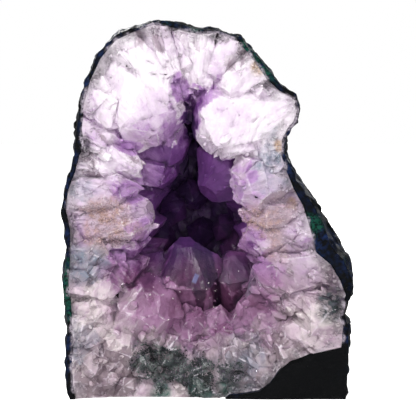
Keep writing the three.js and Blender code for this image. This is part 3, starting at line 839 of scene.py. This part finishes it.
# Moss: rounded grains of dark chalcedony that grew over the foot of the crust.
mossLook = {
    "grain": "#3c4746",
    "dark": "#0d1517",
    "light": "#8d9391",
    "stops": {"dark": 0.4, "grain": 0.53, "light": 0.68},  # where the pattern reaches each colour
    "patch": 5.0,  # mm, over which the grains change from dark to light
    "seed": 23,
    "count": 5000,
    "radius": (0.15, 0.6),  # mm
    "flat": (0.7, 1.1),  # of the radius, least and most along each axis
    "top": (30, 20),  # mm, height at which it fades out
}


def mossMaterial():
    # mossy chalcedony: waxy grey-green grains, nearly black in places
    material, tree = newMaterial("mossy chalcedony")
    place = addNode(tree, "TexCoord", {}, "Object")
    scale = 1 / (mossLook["patch"] * mm)
    cloud = addNode(tree, "TexNoise", {"Vector": place, "Scale": scale, "Detail": 4.0})
    ramp = addNode(tree, "ValToRGB", {"Fac": cloud}, "Color")
    stops = ramp.node.color_ramp.elements
    for i, name in enumerate(("dark", "light")):
        stops[i].position = mossLook["stops"][name]
        stops[i].color = toLinear(mossLook[name])
    stops.new(mossLook["stops"]["grain"]).color = toLinear(mossLook["grain"])
    surface = addNode(tree, "BsdfPrincipled", {"Base Color": ramp, "Roughness": 0.45, "IOR": 1.54})
    addNode(tree, "OutputMaterial", {"Surface": surface})
    return material


def makeMoss():
    draw = np.random.default_rng(mossLook["seed"])
    a, b, c, corners = cornersOf(crust.data)
    area = np.linalg.norm(np.cross(b - a, c - a), axis=1) / 2
    height = pointsOf(crust.data)[corners][:, :, 2].mean(1)
    weight = area * layerOf(crust.data, "moss")[corners].mean(1) ** 3 * smooth(*mossLook["top"], height)
    pick = draw.choice(len(corners), mossLook["count"], p=weight / weight.sum())
    bm = bmesh.new()
    bmesh.ops.create_icosphere(bm, subdivisions=1, radius=1.0)
    ball = np.array([v.co for v in bm.verts])
    sides = np.array([[v.index for v in f.verts] for f in bm.faces])
    bm.free()
    low, high = mossLook["radius"]
    radius = low + (high - low) * draw.random(len(pick)) ** 2
    shapes = ball[None] * draw.uniform(*mossLook["flat"], (len(pick), 1, 3)) * radius[:, None, None]
    spots = (shapes + ((a + b + c) / 3)[pick][:, None]).reshape(-1, 3)
    spots[:, 2] = np.maximum(spots[:, 2], floorGap)
    faces = (sides[None] + (np.arange(len(pick)) * len(ball))[:, None, None]).reshape(-1, 3)
    grains = bpy.data.meshes.new("moss")
    grains.from_pydata((spots * mm).tolist(), [], faces.tolist())
    grains.shade_smooth()
    piece = addObject("moss", grains, mossMaterial())
    print("moss:", len(faces), "triangles")


makeMoss()


# Basalt: fine dark lava. It is matt and nearly black with a painted blue highlight in patches towards the
# front, ashy and full of small holes where it weathered, green with celadonite along the crust, and honed
# at the saw cut.
def basaltMaterial():
    look = {
        "black": "#060709", "navy": "#1b2d57",  # black rock, and a painted blue highlight on it
        "ash": "#3e3f42", "olive": "#4e493c",  # weathered rock
        "green": "#144639", "lining": "#a79da9", "pale": "#9a9a94",  # celadonite, chalcedony and specks
        "stretch": 14.0,  # mm, patches of one shade
        "lump": 2.6,  # mm, mottling
        "grain": 1.1,  # mm, coarser than real grains so that they show
        "speck": 1.4,  # mm
        "hole": 6.0,  # mm between the holes left by gas
    }
    material, tree = newMaterial("rough basalt")
    place = addNode(tree, "TexCoord", {}, "Object")
    green, honed, rear, inner, blueSheenFront = (
        addNode(tree, "Attribute", {"attribute_name": name}, "Fac")
        for name in ("green", "honed", "rear", "lining", "blueSheenFront")
    )
    stretch, lump, grain, speck = (
        addNode(
            tree, "TexNoise",
            {"Vector": place, "Scale": 1 / (look[name] * mm), "Detail": 4.0, "Roughness": 0.6},
        )
        for name in ("stretch", "lump", "grain", "speck")
    )

    # black rock with patches of painted blue highlight towards the front, then weathered rock with its
    # holes
    blue = addNode(tree, "MapRange", {"Value": lump, "From Min": 0.42, "From Max": 0.72})
    patches = addNode(tree, "MapRange", {"Value": stretch, "From Min": 0.4, "From Max": 0.6})
    blue = addNode(tree, "Math", {"operation": "MULTIPLY", 0: blue, 1: patches})
    blue = addNode(tree, "Math", {"operation": "MULTIPLY", 0: blue, 1: blueSheenFront})
    colour = addNode(tree, "Mix", {"data_type": "RGBA", 0: blue, 6: look["black"], 7: look["navy"]}, 2)
    browner = addNode(tree, "MapRange", {"Value": stretch, "From Min": 0.35, "From Max": 0.65})
    weathered = addNode(tree, "Mix", {"data_type": "RGBA", 0: browner, 6: look["ash"], 7: look["olive"]}, 2)
    pitted = addNode(tree, "MapRange", {"Value": lump, "From Min": 0.3, "From Max": 0.6, "To Min": 0.5})
    holes = addNode(tree, "TexVoronoi", {"Vector": place, "Scale": 1 / (look["hole"] * mm)}, "Distance")
    holes = addNode(tree, "Math", {"operation": "MULTIPLY_ADD", 0: lump, 1: 0.8, 2: holes})
    holes = addNode(tree, "MapRange", {"Value": holes, "From Min": 0.5, "From Max": 0.62})
    pitted = addNode(tree, "Math", {"operation": "MULTIPLY", 0: pitted, 1: holes})
    cover = addNode(tree, "Math", {"operation": "MULTIPLY", 0: rear, 1: pitted})
    colour = addNode(tree, "Mix", {"data_type": "RGBA", 0: cover, 6: colour, 7: weathered}, 2)

    # celadonite in spots, broken chalcedony, and pale specks
    spots = addNode(tree, "MapRange", {"Value": grain, "From Min": 0.42, "From Max": 0.56})
    greens = addNode(tree, "Math", {"operation": "MULTIPLY", 0: green, 1: spots})
    colour = addNode(tree, "Mix", {"data_type": "RGBA", 0: greens, 6: colour, 7: look["green"]}, 2)
    broken = addNode(tree, "MapRange", {"Value": speck, "From Min": 0.35, "From Max": 0.55})
    lining = addNode(tree, "Math", {"operation": "MULTIPLY", 0: inner, 1: broken})
    colour = addNode(tree, "Mix", {"data_type": "RGBA", 0: lining, 6: colour, 7: look["lining"]}, 2)
    specks = addNode(tree, "MapRange", {"Value": speck, "From Min": 0.71, "From Max": 0.76})
    colour = addNode(tree, "Mix", {"data_type": "RGBA", 0: specks, 6: colour, 7: look["pale"]}, 2)
    rough = addNode(tree, "MapRange", {"Value": honed, "To Min": 0.5, "To Max": 0.4})
    sunk = addNode(tree, "MapRange", {"Value": rear, "To Min": 0.0, "To Max": 0.6})
    height = addNode(tree, "Math", {"operation": "MULTIPLY_ADD", 0: holes, 1: sunk, 2: grain})
    bump = addNode(tree, "Bump", {"Height": height, "Strength": 0.9, "Distance": 0.8 * mm})
    surface = addNode(tree, "BsdfPrincipled", {
        "Base Color": colour,
        "Roughness": rough,
        "Normal": bump,
        "IOR": 1.6,
        "Specular IOR Level": 0.05,
    })
    addNode(tree, "OutputMaterial", {"Surface": surface})
    return material


basalt = basaltMaterial()
print("materials: basalt")


# The rind: the solid's shell, knobbly outside and honed on the saw cut of the foot.
rindLook = {
    "longest": 2.3,  # mm, longest edge
    "rimLongest": 1.0,  # mm, longest edge on the broken front
    "rimDepth": -36,  # mm, in front of which it is the broken front
    "rimFacing": -0.2,  # its faces look at least that much to the front
    "foot": 0.2,  # mm, below which it stays coarse
    "shadeAngle": 40,  # degrees past which an edge is shaded sharp
    "middle": (-4.0, -8.0, 80.0),  # mm, what looks away from here is the outside
    "outside": (0.05, 0.5),  # how much it looks away where the relief begins and is full
    "footHeld": (0.0, 3.0),  # mm above the floor, where it begins and is full
    # mm, where the saw cut begins and is full: in depth, downwards and to the right
    "cutDepth": (-40, -42),
    "cutTop": (29, 26),
    "cutLeft": (8, 16),
    "noise": (24.0, 9.0, 3.6),  # mm, sizes of stretches, knobs and pits
    "rough": (-0.35, 0.35),  # where the stretches begin to be rough and are
    "knob": 1.5,  # mm, height of the knobs
    "knobMost": 1.4,  # of it, the highest
    "knobMix": (0.2, 0.9, 0.25, 0.7),  # how common, then shares of the big and small noise, more if rough
    "pit": 0.7,  # mm, depth of the pits
    "pitLeast": 0.4,  # of it, where the rock is smooth
    "far": 12,  # mm, distances from the crust are measured up to this
    "lining": (1.5, 0.5, 1.6),  # mm from the crust where chalcedony begins and is full, and its wander
    "liningDepth": (-34, -38),  # mm, depths where it begins and is full
    "liningFacing": (-0.3, -0.7),  # how much it looks to the front there
    # celadonite along the crust: x, z and radius in mm, and strength
    "green": [
        (-69, 57, 9, 1.0), (-69, 45, 6, 1.0), (20, 164, 9, 0.9), (30, 157, 7, 0.9), (50, 84, 6, 1.0),
        (-10, 3, 12, 0.9),
    ],
    "greenRagged": (0.6, 0.5),  # by which pits and knobs move its borders, in radii
    "scattered": (11.0, 0.25, 0.55),  # mm, size of its other spots, and where they begin and are full
    "greenDepth": (-30, -42, 6),  # mm, depths where it begins and is full, and their wander
    "blueSheenFront": (-2, -28),  # mm, depths where the painted blue highlight begins and is full
    "rear": (12, 42),  # mm, depths where weathered rock begins and is full
    "ragged": (16, 8),  # mm, by which stretches and knobs move those depths
}


def makeRind():
    look = rindLook
    crustTree = BVHTree.FromPolygons(
        [v.co / mm for v in crust.data.vertices], [p.vertices for p in crust.data.polygons]
    )
    bm = weldedCopy("rind")
    rimDepth = look["rimDepth"] * mm
    refine(bm, look["longest"], lambda f: f.calc_center_median().z > look["foot"] * mm)
    refine(
        bm,
        look["rimLongest"],
        lambda f: f.calc_center_median().y < rimDepth and f.normal.y < look["rimFacing"],
    )
    mesh = bpy.data.meshes.new("basaltRind")
    bm.to_mesh(mesh)
    bm.free()

    # knobs and pits on the outside, but not on the saw cut or at the floor
    points = pointsOf(mesh)
    normals = normalsOf(mesh)
    x, y, z = points.T
    fromMiddle = points - np.array(look["middle"])
    outward = fromMiddle / np.linalg.norm(fromMiddle, axis=1)[:, None]
    outside = smooth(*look["outside"], (outward * normals).sum(1))
    cut = smooth(*look["cutDepth"], y) * smooth(*look["cutTop"], z) * smooth(*look["cutLeft"], x)
    free = outside * smooth(*look["footHeld"], z) * (1 - cut)
    shifts = (8.8, 0.0, 4.4)
    broad, big, small = (noiseAt(points, size, shift) for size, shift in zip(look["noise"], shifts))
    rough = smooth(*look["rough"], broad)  # some stretches are smoother than others
    common, ofBig, ofSmall, ofRough = look["knobMix"]
    knobs = common + ofBig * big + (ofSmall + ofRough * rough) * small
    push = look["knob"] * np.clip(knobs, 0, look["knobMost"])
    push -= look["pit"] * (look["pitLeast"] + rough) * np.clip(-small, 0, 1)
    placePoints(mesh, points + normals * (free * push)[:, None])

    # layers for the material
    begins, full, wander = look["lining"]
    lining = smooth(begins, full, distanceTo(crustTree, points, look["far"]) + wander * small)
    lining = lining * smooth(*look["liningDepth"], y) * (1 - cut)
    writeLayer(mesh, "lining", lining * smooth(*look["liningFacing"], normals[:, 1]))
    size, begins, full = look["scattered"]
    scattered = smooth(begins, full, noiseAt(points, size, 2.2))
    ofSmall, ofBig = look["greenRagged"]
    green = np.maximum(scattered, patchAt(points, look["green"], ofSmall * small + ofBig * big))
    begins, full, wander = look["greenDepth"]
    writeLayer(mesh, "green", smooth(begins, full, y + wander * big) * green * (1 - cut))
    writeLayer(mesh, "honed", cut)
    ragged = y + look["ragged"][0] * broad + look["ragged"][1] * big
    # where the painted blue highlight lies, towards the front
    writeLayer(mesh, "blueSheenFront", smooth(*look["blueSheenFront"], ragged) * (1 - cut))
    writeLayer(mesh, "rear", smooth(*look["rear"], ragged))
    mesh.shade_smooth()
    mesh.set_sharp_from_angle(angle=math.radians(look["shadeAngle"]))
    piece = addObject("basaltRind", mesh, basalt)
    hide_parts("rind")
    print("rind:", len(mesh.polygons), "triangles")


makeRind()


# Stage: a pale floor, a soft key from the upper left, a fill, a low front light, three small lamps for the
# glints, and two lamps behind for the back of the rind.
stageLook = {
    "floor": "#f6f6f6",
    "floorHalf": 3.0,  # metres
    "floorGlow": 0.97,  # the floor is lit from below like a light table, so that it stays white
    "world": 0.16,  # strength of the light from all round
    "target": (0, -0.03, 0.09),  # metres, what the lamps point at
    "lights": [
        # name, place and size in metres, watts
        ("key", (-0.4, -0.62, 0.8), 0.25, 6.7),
        ("fill", (0.7, -0.6, 0.35), 0.5, 1.7),
        ("front", (0.05, -1.1, 0.2), 0.12, 1.6),
        ("glintRight", (0.3, -0.9, 0.5), 0.03, 0.9),
        ("glintLeft", (-0.3, -0.95, 0.3), 0.03, 0.7),
        ("glintTop", (0.05, -0.65, 0.95), 0.03, 0.9),
        ("rearLeft", (-0.4, 1.2, 0.7), 0.15, 11.0),
        ("rearRight", (0.3, 1.3, 0.3), 0.3, 2.5),
    ],
}


def makeStage():
    # plain paper: matt and white, with no edge where it meets the background
    material, tree = newMaterial("pale paper")
    seen = addNode(tree, "LightPath", {}, "Is Camera Ray")
    glow = addNode(tree, "MapRange", {"Value": seen, "To Min": 0.0, "To Max": stageLook["floorGlow"]})
    paper = addNode(tree, "BsdfPrincipled", {
        "Base Color": stageLook["floor"],
        "Roughness": 0.9,
        "Emission Color": "#ffffff",
        "Emission Strength": glow,
    })
    addNode(tree, "OutputMaterial", {"Surface": paper})
    half = stageLook["floorHalf"]
    mesh = bpy.data.meshes.new("floor")
    corners = [(-half, -half, 0), (half, -half, 0), (half, half, 0), (-half, half, 0)]
    mesh.from_pydata(corners, [], [(0, 1, 2, 3)])
    mesh.materials.append(material)
    floor = bpy.data.objects.new("floor", mesh)
    scene.collection.objects.link(floor)
    world = bpy.data.worlds.new("studio")
    world.use_nodes = True
    tree = world.node_tree
    tree.nodes.clear()
    seen = addNode(tree, "LightPath", {}, "Is Camera Ray")
    strength = addNode(tree, "MapRange", {"Value": seen, "To Min": stageLook["world"], "To Max": 1.0})
    sky = addNode(tree, "Background", {"Color": "#ffffff", "Strength": strength})
    addNode(tree, "OutputWorld", {"Surface": sky})
    scene.world = world
    for name, place, size, watts in stageLook["lights"]:
        lamp = bpy.data.lights.new(name, "AREA")
        lamp.energy = watts
        lamp.size = size
        light = bpy.data.objects.new(name, lamp)
        light.location = place
        towards = Vector(stageLook["target"]) - Vector(place)
        light.rotation_euler = towards.to_track_quat("-Z", "Y").to_euler()
        scene.collection.objects.link(light)


# Camera: straight on and a little above, at the photograph's scale.
cameraLook = {
    "distance": 1.0,  # metres
    "elevation": 4.0,  # degrees
    "millimetresPerPixel": 180 / 377,  # the stone is 180 mm and 377 pixels tall
    "pixels": 416,
    "bottomPixel": 397,  # where it meets the floor
    "depth": -0.03,  # metres, of the plane that has this scale
    "sensor": 36,  # mm
}


def makeCamera():
    scale = cameraLook["millimetresPerPixel"] * mm
    height = (cameraLook["bottomPixel"] - cameraLook["pixels"] / 2) * scale
    aim = Vector((0, cameraLook["depth"], height))
    lift = math.radians(cameraLook["elevation"])
    lens = bpy.data.cameras.new("camera")
    lens.sensor_width = cameraLook["sensor"]
    lens.lens = cameraLook["sensor"] * cameraLook["distance"] / (cameraLook["pixels"] * scale)
    camera = bpy.data.objects.new("camera", lens)
    camera.location = aim + cameraLook["distance"] * Vector((0, -math.cos(lift), math.sin(lift)))
    camera.rotation_euler = (aim - camera.location).to_track_quat("-Z", "Y").to_euler()
    scene.collection.objects.link(camera)
    scene.camera = camera


makeStage()
makeCamera()
scene.view_settings.view_transform = "Standard"
print("stage and camera are set")
